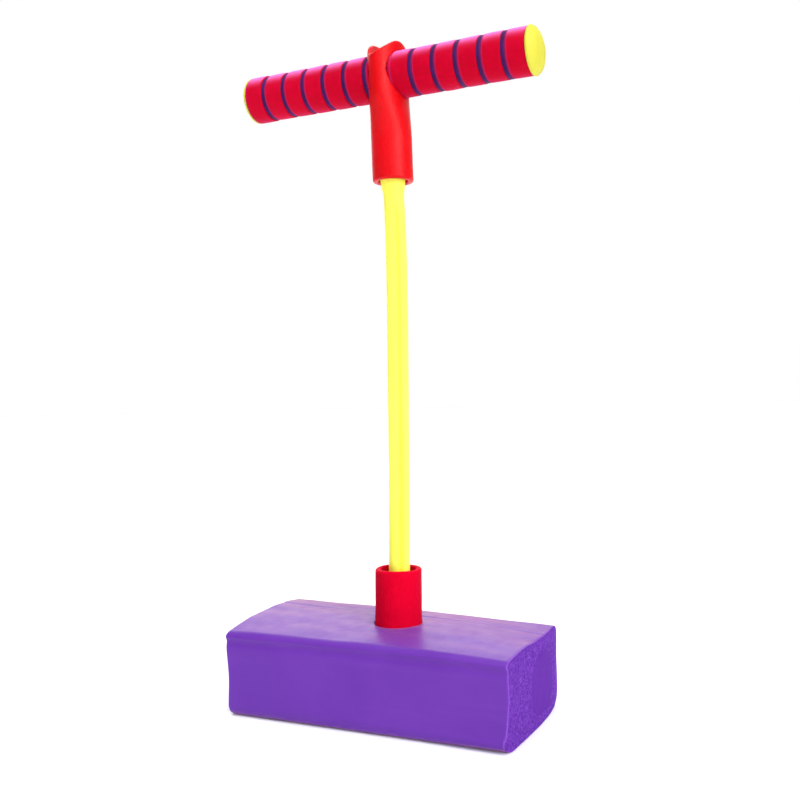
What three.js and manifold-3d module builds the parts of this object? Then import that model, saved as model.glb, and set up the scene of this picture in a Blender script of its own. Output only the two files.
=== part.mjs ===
// Foam pogo jumper: a soft foam base to stand on, an elastic stem and a T handlebar.
// Millimetres, +Z up. The origin is on the base's underside, on the stem's axis, +X runs along
// the base and the handlebar, and -Y is the front.
import * as THREE from 'three';
import { mergeVertices } from 'three/addons/utils/BufferGeometryUtils.js';
import Module from 'manifold-3d';

const wasm = await Module();
wasm.setup();

// ---------------------------------------------------------------- driving dimensions
const GAP = 0.3;              // clearance between pieces that touch

const BASE_LEFT = -147;       // foam base, along X; the stem stands a little nearer its right end
const BASE_RIGHT = 137;
const BASE_W = 150;           // foam base, along Y
const BASE_H = 79;            // foam base, floor to standing face
const BASE_R = { frontTop: 6, backTop: 9, backBottom: 18, frontBottom: 10 };

const RECESS_R = 38;          // round recess in the underside, for the stem's anchor
const RECESS_H = 16;
const COVER_T = 5;            // foam disc that closes the recess

const POCKET = { y: 18, z: 36, halfW: 34, halfH: 26, r: 22, depth: 60 }; // squeaker pocket, from the right end
const PLUG_T = 8;             // foam plug that closes the pocket

const COLLAR_R = 22.8;        // foam collar round the foot of the stem
const COLLAR_BORE_R = 17;
const COLLAR_TOP = 136.8;
const COLLAR_SET = 15;        // how deep the collar is let into the base

const LINER_R = 13;           // plastic tube through the base
const LINER_BORE_R = 11.2;
const STEM_R = 10.25;         // elastic stem
const STEM_BORE_R = 4.5;
const FOOT_R = 20;            // moulded flange at the stem's lower end
const FOOT_Z = [6, 11];
const WASHER_R = 32;
const WASHER_T = 2;

const BEND_LOW = 133;         // height of the stem's fore-and-aft bend
const BEND_HIGH = 153;        // height of the stem's side-to-side bend
const SEAT_GAP = 0.3;
const SHOULDER_DEG = 22;      // how far each bend's ball runs past its centre

const EYE_BOTTOM = 498;       // where the stem widens into the eye
const EYE_NECK_R = 12.4;
const EYE_R = 20;
const EYE_HALF_W = 7;

const BAR_Z = 617.4;           // handlebar axis
const CORE_R = 12.5;          // plastic core tube
const CORE_BORE_R = 10.5;
const GRIP_R = 22.4;          // foam grips
const RING_T = 4.4;           // purple rings
const PITCH = 23.4;           // ring to ring
const LEFT_RING_0 = -15.1;    // innermost purple ring on each side
const RIGHT_RING_0 = 33.8;
const LEFT_RINGS = 6;
const RIGHT_RINGS = 5;
const STOP_T = 2;             // stop washers between the eye and the grips
const STOP_R = 19.5;
const CAP_R = 22.9;
const CAP_T = 9.4;            // domed caps
const CAP_PLUG_R = 10.2;
const CAP_PLUG_L = 18;

const SLEEVE_BOTTOM = 512;    // foam sleeve over the top of the stem
const SLEEVE_TOP = 648;
const SLEEVE_R = 20;
const SLEEVE_BORE_R = 14.5;
const HEAD_HALF_X = 17;       // the sleeve is stretched into an oval where the bar goes through
const HEAD_HALF_Y = 28.3;
const HEAD_BORE_X = 11.5;
const HEAD_BORE_Y = 23.2;
const CROSS_R = 22.8;

const SQ = { x: 103, y: 18, r: 18, floor: 11.6 }; // squeaker, standing in the pocket

// ---------------------------------------------------------------- colours
const PURPLE_FOAM = { color: 0x7a42b8, roughness: 0.85, metalness: 0 };
const RED_FOAM = { color: 0xe60a35, roughness: 0.8, metalness: 0 };
const SLEEVE_FOAM = { color: 0xf52935, roughness: 0.75, metalness: 0 };
const RING_FOAM = { color: 0x4a1f66, roughness: 0.85, metalness: 0 };
const YELLOW_RUBBER = { color: 0xf8f86c, roughness: 0.4, metalness: 0 };
const YELLOW_PLASTIC = { color: 0xf3ee5a, roughness: 0.45, metalness: 0 };
const WHITE_PLASTIC = { color: 0xe8e6e0, roughness: 0.5, metalness: 0 };
const GREY_PLASTIC = { color: 0x5c5e64, roughness: 0.5, metalness: 0 };

// ---------------------------------------------------------------- helpers
// one closed, outward-facing mesh with shared vertices
function clean(geometry) {
  const g = geometry.clone();
  g.deleteAttribute('normal');
  g.deleteAttribute('uv');
  const m = mergeVertices(g, 1e-4);
  const index = [];
  const src = m.index.array;
  const p = m.attributes.position;
  let volume = 0;
  const a = new THREE.Vector3(), b = new THREE.Vector3(), c = new THREE.Vector3();
  for (let i = 0; i < src.length; i += 3) {
    const [i0, i1, i2] = [src[i], src[i + 1], src[i + 2]];
    if (i0 === i1 || i1 === i2 || i0 === i2) continue;
    index.push(i0, i1, i2);
    a.fromBufferAttribute(p, i0); b.fromBufferAttribute(p, i1); c.fromBufferAttribute(p, i2);
    volume += a.dot(b.cross(c)) / 6;
  }
  if (volume < 0) for (let i = 0; i < index.length; i += 3) [index[i + 1], index[i + 2]] = [index[i + 2], index[i + 1]];
  m.setIndex(index);
  return m;
}

function toSolid(geometry) {
  const g = clean(geometry);
  return new wasm.Manifold(new wasm.Mesh({
    numProp: 3,
    vertProperties: new Float32Array(g.attributes.position.array),
    triVerts: new Uint32Array(g.index.array),
  }));
}

function toGeometry(solid) {
  const mesh = solid.getMesh();
  const n = mesh.numProp;
  const count = mesh.vertProperties.length / n;
  const pos = new Float32Array(count * 3);
  for (let i = 0; i < count; i++) for (let k = 0; k < 3; k++) pos[3 * i + k] = mesh.vertProperties[n * i + k];
  const g = new THREE.BufferGeometry();
  g.setAttribute('position', new THREE.BufferAttribute(pos, 3));
  g.setIndex(new THREE.BufferAttribute(new Uint32Array(mesh.triVerts), 1));
  return g;
}

const cut = (base, ...tools) => toGeometry(tools.reduce((s, t) => s.subtract(toSolid(t)), toSolid(base)));
const join = (base, ...tools) => toGeometry(tools.reduce((s, t) => s.add(toSolid(t)), toSolid(base)));

// a profile of [radius, height] pairs turned about Z; a profile that doesn't touch the axis closes on itself
function turned(profile, segments = 28) {
  const pts = profile.map(([r, z]) => new THREE.Vector2(r, z));
  const onAxis = profile[0][0] === 0 && profile[profile.length - 1][0] === 0;
  if (!onAxis) pts.push(pts[0].clone());
  const g = new THREE.LatheGeometry(pts, segments);
  g.rotateX(Math.PI / 2);
  return clean(g);
}

// the same, turned about X
function turnedX(profile, segments = 24) {
  const g = turned(profile, segments);
  g.rotateY(Math.PI / 2);
  return g;
}

const tubeZ = (r1, r0, z0, z1, segments = 28) => turned([[r0, z0], [r1, z0], [r1, z1], [r0, z1]], segments);
const rodZ = (r, z0, z1, segments = 28) => turned([[0, z0], [r, z0], [r, z1], [0, z1]], segments);

// points of an arc in a profile, in degrees from the +radius direction
function arc(zc, r, from, to, steps) {
  const out = [];
  for (let i = 0; i <= steps; i++) {
    const t = THREE.MathUtils.degToRad(from + (to - from) * i / steps);
    out.push([r * Math.cos(t), zc + r * Math.sin(t)]);
  }
  return out;
}

// an outline in the Y-Z plane pushed along X from x0 to x1
function alongX(shape, x0, x1) {
  const g = new THREE.ExtrudeGeometry(shape, { depth: x1 - x0, bevelEnabled: false, curveSegments: 6, steps: 1 });
  // the shape's x is Y, its y is Z, and its depth is X
  g.applyMatrix4(new THREE.Matrix4().makeBasis(new THREE.Vector3(0, 1, 0), new THREE.Vector3(0, 0, 1), new THREE.Vector3(1, 0, 0)));
  g.translate(x0, 0, 0);
  return clean(g);
}

function roundedOutline(y0, y1, z0, z1, rBottomFront, rBottomBack, rTopBack, rTopFront) {
  const s = new THREE.Shape();
  s.moveTo(y0 + rBottomFront, z0);
  s.lineTo(y1 - rBottomBack, z0);
  s.absarc(y1 - rBottomBack, z0 + rBottomBack, rBottomBack, -Math.PI / 2, 0, false);
  s.lineTo(y1, z1 - rTopBack);
  s.absarc(y1 - rTopBack, z1 - rTopBack, rTopBack, 0, Math.PI / 2, false);
  s.lineTo(y0 + rTopFront, z1);
  s.absarc(y0 + rTopFront, z1 - rTopFront, rTopFront, Math.PI / 2, Math.PI, false);
  s.lineTo(y0, z0 + rBottomFront);
  s.absarc(y0 + rBottomFront, z0 + rBottomFront, rBottomFront, Math.PI, 1.5 * Math.PI, false);
  return s;
}

function piece(name, geometry, look, parent, position = [0, 0, 0]) {
  const mesh = new THREE.Mesh(clean(geometry), new THREE.MeshStandardMaterial(look));
  mesh.name = name;
  mesh.position.set(...position);
  parent.add(mesh);
  return mesh;
}

const jumper = new THREE.Group();
const base = new THREE.Group();
const stem = new THREE.Group();
const head = new THREE.Group();
const bar = new THREE.Group();
jumper.add(base, stem, head);
head.add(bar);

// ---------------------------------------------------------------- foam base
const baseOutline = roundedOutline(-BASE_W / 2, BASE_W / 2, 0, BASE_H, BASE_R.frontBottom, BASE_R.backBottom, BASE_R.backTop, BASE_R.frontTop);
const pocketOutline = (grow) => roundedOutline(
  POCKET.y - POCKET.halfW - grow, POCKET.y + POCKET.halfW + grow,
  POCKET.z - POCKET.halfH - grow, POCKET.z + POCKET.halfH + grow,
  POCKET.r + grow, POCKET.r + grow, POCKET.r + grow, POCKET.r + grow);

const collarSeatZ = BASE_H - COLLAR_SET;
piece('foam_base', cut(
  alongX(baseOutline, BASE_LEFT, BASE_RIGHT),
  rodZ(RECESS_R, -5, RECESS_H),
  rodZ(LINER_R + GAP, RECESS_H - 2, collarSeatZ + 2),
  rodZ(COLLAR_R + GAP, collarSeatZ, BASE_H + 5),
  alongX(pocketOutline(0), BASE_RIGHT - POCKET.depth, BASE_RIGHT + 5),
), PURPLE_FOAM, base);

piece('base_end_plug', alongX(pocketOutline(-GAP), BASE_RIGHT - PLUG_T, BASE_RIGHT), PURPLE_FOAM, base);
piece('underside_cover', rodZ(RECESS_R - GAP, 0, COVER_T), PURPLE_FOAM, base);
piece('lower_collar', tubeZ(COLLAR_R, COLLAR_BORE_R, collarSeatZ + GAP, COLLAR_TOP), RED_FOAM, base);

// plastic tube through the base, with a flange under the foam
piece('bore_liner', turned([
  [LINER_BORE_R, RECESS_H - 2.4], [24, RECESS_H - 2.4], [24, RECESS_H - GAP],
  [LINER_R, RECESS_H - GAP], [LINER_R, collarSeatZ], [LINER_BORE_R, collarSeatZ],
]), WHITE_PLASTIC, base);

// squeaker: a reed holder on the pocket floor, a soft bellows and a cap that the foam presses down
const reedTop = SQ.floor + 6;
const bellowsTop = 52;
piece('squeaker_reed_holder', turned([
  [2.5, SQ.floor], [SQ.r, SQ.floor], [SQ.r, reedTop - 2], [SQ.r - 2.5, reedTop], [2.5, reedTop],
], 20), WHITE_PLASTIC, base, [SQ.x, SQ.y, 0]);

const ribs = 3, b0 = reedTop + GAP, b1 = bellowsTop - GAP, wall = 1.6;
const fold = (i) => [i % 2 ? SQ.r - 1 : SQ.r - 5, b0 + (b1 - b0) * i / (ribs * 2)];
const outside = [], inside = [];
for (let i = 0; i <= ribs * 2; i++) {
  const [r, z] = fold(i);
  outside.push([r, z]);
  inside.push([r - wall - 0.4, THREE.MathUtils.clamp(z, b0 + wall, b1 - wall)]);
}
// closed at the top, open through the port at its foot
piece('squeaker_bellows', turned([
  [0, b1], ...outside.reverse(), [6, b0], [6, b0 + wall], ...inside, [0, b1 - wall],
], 16), YELLOW_RUBBER, base, [SQ.x, SQ.y, 0]);
piece('squeaker_cap', turned([
  [0, bellowsTop], [SQ.r - 1, bellowsTop], [SQ.r - 1, bellowsTop + 2.5], [SQ.r - 4, bellowsTop + 4.5], [0, bellowsTop + 4.5],
], 20), WHITE_PLASTIC, base, [SQ.x, SQ.y, 0]);

// ---------------------------------------------------------------- elastic stem
// One moulding, cut into stretches where it bends: each bend is a ball in a seat.
const seatR = STEM_R + SEAT_GAP;
const seatRim = Math.acos(STEM_R / seatR) * 180 / Math.PI;
const boreBall = Math.acos(STEM_BORE_R / STEM_R) * 180 / Math.PI;
const boreSeat = Math.acos(STEM_BORE_R / seatR) * 180 / Math.PI;

piece('stem_foot', turned([
  [STEM_BORE_R, FOOT_Z[0]], [FOOT_R, FOOT_Z[0]], [FOOT_R, FOOT_Z[1]], [STEM_R, FOOT_Z[1]],
  ...arc(BEND_LOW, seatR, -seatRim, -boreSeat, 4),
], 20), YELLOW_RUBBER, stem);

piece('anchor_washer', tubeZ(WASHER_R, STEM_R + 0.35, FOOT_Z[1] + GAP, FOOT_Z[1] + GAP + WASHER_T), GREY_PLASTIC, stem);

piece('stem_neck', turned([
  ...arc(BEND_LOW, STEM_R, -boreBall, SHOULDER_DEG, 6),
  ...arc(BEND_HIGH, STEM_R, -SHOULDER_DEG, boreBall, 6),
], 20), YELLOW_RUBBER, stem);

piece('stem_shaft', turned([
  ...arc(BEND_HIGH, seatR, boreSeat, seatRim, 4),
  [STEM_R, EYE_BOTTOM - 12], [STEM_R + 0.9, EYE_BOTTOM - GAP], [STEM_BORE_R, EYE_BOTTOM - GAP],
], 20), YELLOW_RUBBER, stem);

// ---------------------------------------------------------------- top of the stem, and the sleeve over it
const eyeBlank = join(
  turned([[0, EYE_BOTTOM], [STEM_R + 0.9, EYE_BOTTOM], [EYE_NECK_R, EYE_BOTTOM + 10], [EYE_NECK_R, BAR_Z - 14], [0, BAR_Z - 14]]),
  (() => { const g = turnedX([[0, -EYE_HALF_W], [EYE_R, -EYE_HALF_W], [EYE_R, EYE_HALF_W], [0, EYE_HALF_W]], 32); g.translate(0, 0, BAR_Z); return g; })(),
);
const coreHole = turnedX([[0, -60], [CORE_R + GAP, -60], [CORE_R + GAP, 60], [0, 60]], 32);
coreHole.translate(0, 0, BAR_Z);
// trims the neck to the eye's width, so that the grips clear it
const barClear = (x0, x1) => { const g = turnedX([[0, x0], [GRIP_R + 0.4, x0], [GRIP_R + 0.4, x1], [0, x1]], 32); g.translate(0, 0, BAR_Z); return g; };
piece('stem_eye', cut(eyeBlank, coreHole, rodZ(STEM_BORE_R, EYE_BOTTOM - 5, 560), barClear(EYE_HALF_W, 40), barClear(-40, -EYE_HALF_W)), YELLOW_RUBBER, head);

const headGrow = (rx, ry, z0, z1, z2, segments = 28) => {
  // a turned form squeezed in X, so that it widens into the oval round the bar
  const g = turned([[0, z0], [rx * (SLEEVE_R / ry), z0], [rx * 0.94, z0 + (z1 - z0) * 0.6], [rx, z1], [rx, z2], [0, z2]], segments);
  g.scale(1, ry / rx, 1);
  return clean(g);
};
const crossHole = turnedX([[0, -60], [CROSS_R, -60], [CROSS_R, 60], [0, 60]], 28);
crossHole.translate(0, 0, BAR_Z);
const headBore = turned([[0, 592], [HEAD_BORE_X, 592], [HEAD_BORE_X, SLEEVE_TOP + 10], [0, SLEEVE_TOP + 10]], 28);
headBore.scale(1, HEAD_BORE_Y / HEAD_BORE_X, 1);
piece('upper_sleeve', cut(
  join(rodZ(SLEEVE_R, SLEEVE_BOTTOM, 600, 28), headGrow(HEAD_HALF_X, HEAD_HALF_Y, 560, 600, SLEEVE_TOP)),
  rodZ(SLEEVE_BORE_R, SLEEVE_BOTTOM - 5, 598, 28), headBore, crossHole,
), SLEEVE_FOAM, head);

// ---------------------------------------------------------------- handlebar
bar.position.set(0, 0, BAR_Z);
const redT = PITCH - RING_T;
const leftEnd = LEFT_RING_0 - PITCH * (LEFT_RINGS - 1) - RING_T / 2 - redT;
const rightEnd = RIGHT_RING_0 + PITCH * (RIGHT_RINGS - 1) + RING_T / 2 + redT;
const discX = (width) => turnedX([
  [CORE_R + GAP, -width / 2], [GRIP_R, -width / 2], [GRIP_R, width / 2], [CORE_R + GAP, width / 2],
], 24);

piece('core_tube', turnedX([
  [CORE_BORE_R, leftEnd], [CORE_R, leftEnd], [CORE_R, rightEnd], [CORE_BORE_R, rightEnd],
], 24), WHITE_PLASTIC, bar);

for (let i = 0; i < LEFT_RINGS; i++) {
  const x = LEFT_RING_0 - PITCH * i;
  piece(`left_ring_${i + 1}`, discX(RING_T - GAP), RING_FOAM, bar, [x, 0, 0]);
  piece(`left_grip_${i + 1}`, discX(redT - GAP), RED_FOAM, bar, [x - PITCH / 2, 0, 0]);
}
for (let i = 0; i < RIGHT_RINGS; i++) {
  const x = RIGHT_RING_0 + PITCH * i;
  piece(`right_ring_${i + 1}`, discX(RING_T - GAP), RING_FOAM, bar, [x, 0, 0]);
  piece(`right_grip_${i + 2}`, discX(redT - GAP), RED_FOAM, bar, [x + PITCH / 2, 0, 0]);
}
// the inner segments run up to their stop washers, inside the sleeve
const innerEnd = RIGHT_RING_0 - RING_T / 2;
const innerStart = EYE_HALF_W + GAP + STOP_T + GAP;
piece('right_grip_1', discX(innerEnd - GAP / 2 - innerStart), RED_FOAM, bar, [(innerEnd - GAP / 2 + innerStart) / 2, 0, 0]);
const innerLeft = LEFT_RING_0 + RING_T / 2;
piece('left_grip_0', discX(-innerStart - innerLeft - GAP / 2), RED_FOAM, bar, [(innerLeft + GAP / 2 - innerStart) / 2, 0, 0]);

const stopDisc = turnedX([
  [CORE_R + GAP, -STOP_T / 2], [STOP_R, -STOP_T / 2], [STOP_R, STOP_T / 2], [CORE_R + GAP, STOP_T / 2],
], 24);
piece('left_stop_washer', stopDisc, GREY_PLASTIC, bar, [-(EYE_HALF_W + GAP + STOP_T / 2), 0, 0]);
piece('right_stop_washer', stopDisc, GREY_PLASTIC, bar, [EYE_HALF_W + GAP + STOP_T / 2, 0, 0]);

const capProfile = [
  [0, -CAP_PLUG_L], [CAP_PLUG_R - 1, -CAP_PLUG_L], [CAP_PLUG_R, -CAP_PLUG_L + 2], [CAP_PLUG_R, GAP], [CAP_R - 1, GAP],
  [CAP_R, GAP + 1], [CAP_R - 0.2, 2.3], [CAP_R - 2, 4.6], [CAP_R - 5.8, 6.8], [CAP_R - 11.8, 8.6], [0, CAP_T],
];
piece('right_end_cap', turnedX(capProfile), YELLOW_PLASTIC, bar, [rightEnd, 0, 0]);
const leftCap = piece('left_end_cap', turnedX(capProfile), YELLOW_PLASTIC, bar, [leftEnd, 0, 0]);
leftCap.rotation.z = Math.PI;

export default jumper;
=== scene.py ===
import math

import bmesh
import bpy
import numpy as np
from mathutils import Matrix, Vector


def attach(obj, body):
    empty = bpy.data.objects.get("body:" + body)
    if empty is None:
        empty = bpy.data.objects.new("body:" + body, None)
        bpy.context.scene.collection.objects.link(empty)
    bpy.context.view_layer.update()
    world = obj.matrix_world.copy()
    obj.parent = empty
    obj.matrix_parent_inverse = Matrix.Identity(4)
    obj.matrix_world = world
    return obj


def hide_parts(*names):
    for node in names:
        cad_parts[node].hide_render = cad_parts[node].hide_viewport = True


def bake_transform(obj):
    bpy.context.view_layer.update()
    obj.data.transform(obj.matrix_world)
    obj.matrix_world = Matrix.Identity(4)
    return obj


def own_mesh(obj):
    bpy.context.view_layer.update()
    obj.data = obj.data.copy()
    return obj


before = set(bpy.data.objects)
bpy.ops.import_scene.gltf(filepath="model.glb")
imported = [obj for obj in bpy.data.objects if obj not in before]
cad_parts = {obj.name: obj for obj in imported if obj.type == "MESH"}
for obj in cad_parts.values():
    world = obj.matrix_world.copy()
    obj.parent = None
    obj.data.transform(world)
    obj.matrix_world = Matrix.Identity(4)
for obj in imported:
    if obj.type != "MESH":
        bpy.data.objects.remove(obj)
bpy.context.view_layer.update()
MM = 0.001
scene = bpy.context.scene


# ------------------------------------------------------------------ shape helpers (millimetres)
def smooth(t):
    t = np.clip(t, 0.0, 1.0)
    return t * t * (3 - 2 * t)


def bell(t, width):
    return np.exp(-((t / width) ** 2))


def weights(knots, q):
    """How much each knot of a natural cubic spline counts at the places q, which are held inside its ends."""
    k = np.asarray(knots, float)
    n = len(k)
    h = np.diff(k)
    A, B = np.eye(n), np.zeros((n, n))
    for i in range(1, n - 1):
        A[i, i - 1:i + 2] = h[i - 1], 2 * (h[i - 1] + h[i]), h[i]
        B[i, i - 1:i + 2] = 6 / h[i - 1], -6 / h[i - 1] - 6 / h[i], 6 / h[i]
    M = np.linalg.solve(A, B)
    q = np.clip(np.asarray(q, float), k[0], k[-1])
    i = np.clip(np.searchsorted(k, q) - 1, 0, n - 2)
    a, b, hi = (k[i + 1] - q)[:, None], (q - k[i])[:, None], h[i][:, None]
    E = np.eye(n)
    return (M[i] * a ** 3 + M[i + 1] * b ** 3) / (6 * hi) + (E[i] / hi - M[i] * hi / 6) * a + (E[i + 1] / hi - M[i + 1] * hi / 6) * b


def spline(knots, values, q):
    return weights(knots, q) @ np.asarray(values, float)


def waves(P, length, seed, count=7):
    """A smooth, repeatable unevenness between about -1 and 1; length is the size of its bumps in mm."""
    rng = np.random.default_rng(seed)
    out = np.zeros(len(P))
    for _ in range(count):
        k = rng.normal(size=3)
        k *= 2 * math.pi / (length * rng.uniform(0.7, 1.7)) / np.linalg.norm(k)
        out += np.sin(P @ k + rng.uniform(0, 6.283))
    return out / math.sqrt(count) / 1.3


def fillet(points, seg=6, closed=True):
    """(a, b, radius) corners to a chain of points with its corners rounded."""
    out = []
    n = len(points)
    for i, (a, b, r) in enumerate(points):
        p = np.array([a, b], float)
        if r <= 0 or (not closed and i in (0, n - 1)):
            out.append(tuple(p))
            continue
        u = np.array(points[i - 1][:2], float) - p
        v = np.array(points[(i + 1) % n][:2], float) - p
        lu, lv = np.linalg.norm(u), np.linalg.norm(v)
        u, v = u / lu, v / lv
        half = math.acos(max(-1, min(1, float(u @ v)))) / 2
        t = min(r / math.tan(half), lu * 0.499, lv * 0.499)
        r = t * math.tan(half)
        mid = (u + v) / np.linalg.norm(u + v)
        c = p + mid * (r / math.sin(half))
        s, e = p + u * t - c, p + v * t - c
        a0 = math.atan2(s[1], s[0])
        da = math.atan2(e[1], e[0]) - a0
        da = (da + math.pi) % (2 * math.pi) - math.pi
        for k in range(seg + 1):
            w = a0 + da * k / seg
            out.append((c[0] + r * math.cos(w), c[1] + r * math.sin(w)))
    return out


def dense(chain, step, closed=True):
    """Adds points so that no stretch is longer than step."""
    out = []
    n = len(chain)
    for i in range(n if closed else n - 1):
        a, b = np.array(chain[i]), np.array(chain[(i + 1) % n])
        m = max(1, int(math.ceil(np.linalg.norm(b - a) / step)))
        for k in range(m):
            out.append(tuple(a + (b - a) * k / m))
    if not closed:
        out.append(tuple(chain[-1]))
    return out


def make(name, verts, faces, warp=None, sharp=None):
    """A mesh object from points in mm, its faces turned outward and smooth."""
    P = np.array(verts, float)
    if warp is not None:
        P = warp(P)
    me = bpy.data.meshes.new(name)
    me.from_pydata([tuple(p) for p in P * MM], [], [tuple(int(i) for i in f) for f in faces])
    bm = bmesh.new()
    bm.from_mesh(me)
    bmesh.ops.remove_doubles(bm, verts=bm.verts, dist=1e-7)
    bmesh.ops.recalc_face_normals(bm, faces=bm.faces)
    if bm.calc_volume(signed=True) < 0:
        bmesh.ops.reverse_faces(bm, faces=bm.faces)
    for f in bm.faces:
        f.smooth = True
    if sharp is not None:
        for e in bm.edges:
            if len(e.link_faces) == 2 and e.calc_face_angle(0) > math.radians(sharp):
                e.smooth = False
    bm.to_mesh(me)
    bm.free()
    ob = bpy.data.objects.new(name, me)
    scene.collection.objects.link(ob)
    return ob


def turn(name, profile, segments=64, axis="Z", at=(0, 0, 0), warp=None, step=None, sharp=None, closed=True):
    """A profile of (radius, height) points turned about an axis. An open profile starts and ends on the axis."""
    if step:
        profile = dense(profile, step, closed)
    verts, faces = [], []
    rings = []
    for r, h in profile:
        if r < 1e-6:
            rings.append([len(verts)])
            verts.append((0, 0, h))
        else:
            ring = []
            for s in range(segments):
                w = 2 * math.pi * s / segments
                ring.append(len(verts))
                verts.append((r * math.cos(w), r * math.sin(w), h))
            rings.append(ring)
    n = len(rings)
    for i in range(n if closed else n - 1):
        a, b = rings[i], rings[(i + 1) % n]
        if len(a) == 1 and len(b) == 1:
            continue
        for s in range(segments):
            t = (s + 1) % segments
            if len(a) == 1:
                faces.append((a[0], b[s], b[t]))
            elif len(b) == 1:
                faces.append((a[s], a[t], b[0]))
            else:
                faces.append((a[s], a[t], b[t], b[s]))
    P = np.array(verts, float)
    if axis == "X":
        P = P[:, [2, 0, 1]]
    P = P + np.array(at, float)
    return make(name, P, faces, warp, sharp)


def apply_modifiers(ob):
    dg = bpy.context.evaluated_depsgraph_get()
    me = bpy.data.meshes.new_from_object(ob.evaluated_get(dg), depsgraph=dg)
    ob.modifiers.clear()
    old = ob.data
    ob.data = me
    bpy.data.meshes.remove(old)
    return ob


def boolean(ob, *others, operation="DIFFERENCE"):
    for other in others:
        m = ob.modifiers.new("cut", "BOOLEAN")
        m.operation = operation
        m.object = other
        m.solver = "EXACT"
        bpy.context.view_layer.update()
        apply_modifiers(ob)
        me = other.data
        bpy.data.objects.remove(other)
        bpy.data.meshes.remove(me)
    return ob


def remesh(ob, voxel, iterations=6, factor=0.5):
    m = ob.modifiers.new("skin", "REMESH")
    m.mode = "VOXEL"
    m.voxel_size = voxel * MM
    m.adaptivity = 0.0
    m.use_smooth_shade = True
    if iterations:
        s = ob.modifiers.new("soften", "SMOOTH")
        s.factor = factor
        s.iterations = iterations
    bpy.context.view_layer.update()
    apply_modifiers(ob)
    return ob


def mark_sharp(ob, degrees):
    bm = bmesh.new()
    bm.from_mesh(ob.data)
    for f in bm.faces:
        f.smooth = True
    for e in bm.edges:
        e.smooth = not (len(e.link_faces) == 2 and e.calc_face_angle(0) > math.radians(degrees))
    bm.to_mesh(ob.data)
    bm.free()


def reshape(ob, change):
    """Moves a finished mesh's points by a function of their places in mm."""
    co = np.zeros(len(ob.data.vertices) * 3, np.float32)
    ob.data.vertices.foreach_get("co", co)
    P = co.reshape(-1, 3).astype(float) / MM
    ob.data.vertices.foreach_set("co", (change(P) * MM).astype(np.float32).ravel())
    ob.data.update()


# ------------------------------------------------------------------ material helpers
def linear(c):
    """An sRGB colour of 0-255 numbers as linear light."""
    out = []
    for v in c:
        v /= 255
        out.append(v / 12.92 if v <= 0.04045 else ((v + 0.055) / 1.055) ** 2.4)
    return (*out, 1.0)


class Look:
    """A procedural material, built from object coordinates."""

    def __init__(self, name):
        self.m = bpy.data.materials.new(name)
        self.m.use_nodes = True
        self.t = self.m.node_tree
        self.t.nodes.clear()
        self.out = self.t.nodes.new("ShaderNodeOutputMaterial")
        self.b = self.t.nodes.new("ShaderNodeBsdfPrincipled")
        self.t.links.new(self.b.outputs[0], self.out.inputs[0])
        self.co = self.t.nodes.new("ShaderNodeTexCoord").outputs["Object"]

    def put(self, socket, value):
        if isinstance(value, bpy.types.NodeSocket):
            self.t.links.new(value, socket)
        else:
            socket.default_value = value

    def set(self, **values):
        for k, v in values.items():
            self.put(self.b.inputs[k.replace("_", " ")], v)

    def noise(self, scale, detail=3.0, rough=0.5, distortion=0.0, co=None):
        n = self.t.nodes.new("ShaderNodeTexNoise")
        self.put(n.inputs["Vector"], co or self.co)
        n.inputs["Scale"].default_value = scale
        n.inputs["Detail"].default_value = detail
        n.inputs["Roughness"].default_value = rough
        n.inputs["Distortion"].default_value = distortion
        return n.outputs[0]

    def cells(self, scale, feature="F1", co=None, randomness=1.0):
        n = self.t.nodes.new("ShaderNodeTexVoronoi")
        n.feature = feature
        self.put(n.inputs["Vector"], co or self.co)
        n.inputs["Scale"].default_value = scale
        n.inputs["Randomness"].default_value = randomness
        return n.outputs["Distance"]

    def stretch(self, x, y, z):
        n = self.t.nodes.new("ShaderNodeMapping")
        self.put(n.inputs["Vector"], self.co)
        n.inputs["Scale"].default_value = (x, y, z)
        return n.outputs[0]

    def math(self, op, a, b=0.0, c=0.0):
        n = self.t.nodes.new("ShaderNodeMath")
        n.operation = op
        self.put(n.inputs[0], a)
        self.put(n.inputs[1], b)
        if len(n.inputs) > 2:
            self.put(n.inputs[2], c)
        return n.outputs[0]

    def fit(self, value, a, b, c=0.0, d=1.0, soft=True):
        n = self.t.nodes.new("ShaderNodeMapRange")
        n.interpolation_type = "SMOOTHSTEP" if soft else "LINEAR"
        self.put(n.inputs[0], value)
        for i, v in enumerate((a, b, c, d), 1):
            n.inputs[i].default_value = v
        return n.outputs[0]

    def mix(self, fac, a, b, blend="MIX"):
        n = self.t.nodes.new("ShaderNodeMix")
        n.data_type = "RGBA"
        n.blend_type = blend
        self.put(n.inputs[0], fac)
        self.put(n.inputs[6], a)
        self.put(n.inputs[7], b)
        return n.outputs[2]

    def axis(self, which):
        n = self.t.nodes.new("ShaderNodeSeparateXYZ")
        self.put(n.inputs[0], self.co)
        return n.outputs[which]

    def random(self):
        return self.t.nodes.new("ShaderNodeObjectInfo").outputs["Random"]

    def bump(self, height, distance, strength=1.0, normal=None):
        n = self.t.nodes.new("ShaderNodeBump")
        n.inputs["Strength"].default_value = strength
        n.inputs["Distance"].default_value = distance
        self.put(n.inputs["Height"], height)
        if normal is not None:
            self.put(n.inputs["Normal"], normal)
        return n.outputs[0]


def bar_place(k):
    """Where a point of the handlebar lies between two rings, from -0.5 to 0.5 of their spacing; 0 is a ring's middle."""
    x = k.axis(0)
    first = k.math("ADD", k.math("MULTIPLY", k.math("GREATER_THAN", x, 0.0), 0.0489), -0.0151)
    turn_no = k.math("DIVIDE", k.math("SUBTRACT", x, first), 0.0234)
    return k.math("SUBTRACT", k.math("FRACT", k.math("ADD", turn_no, 0.5)), 0.5)


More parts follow.
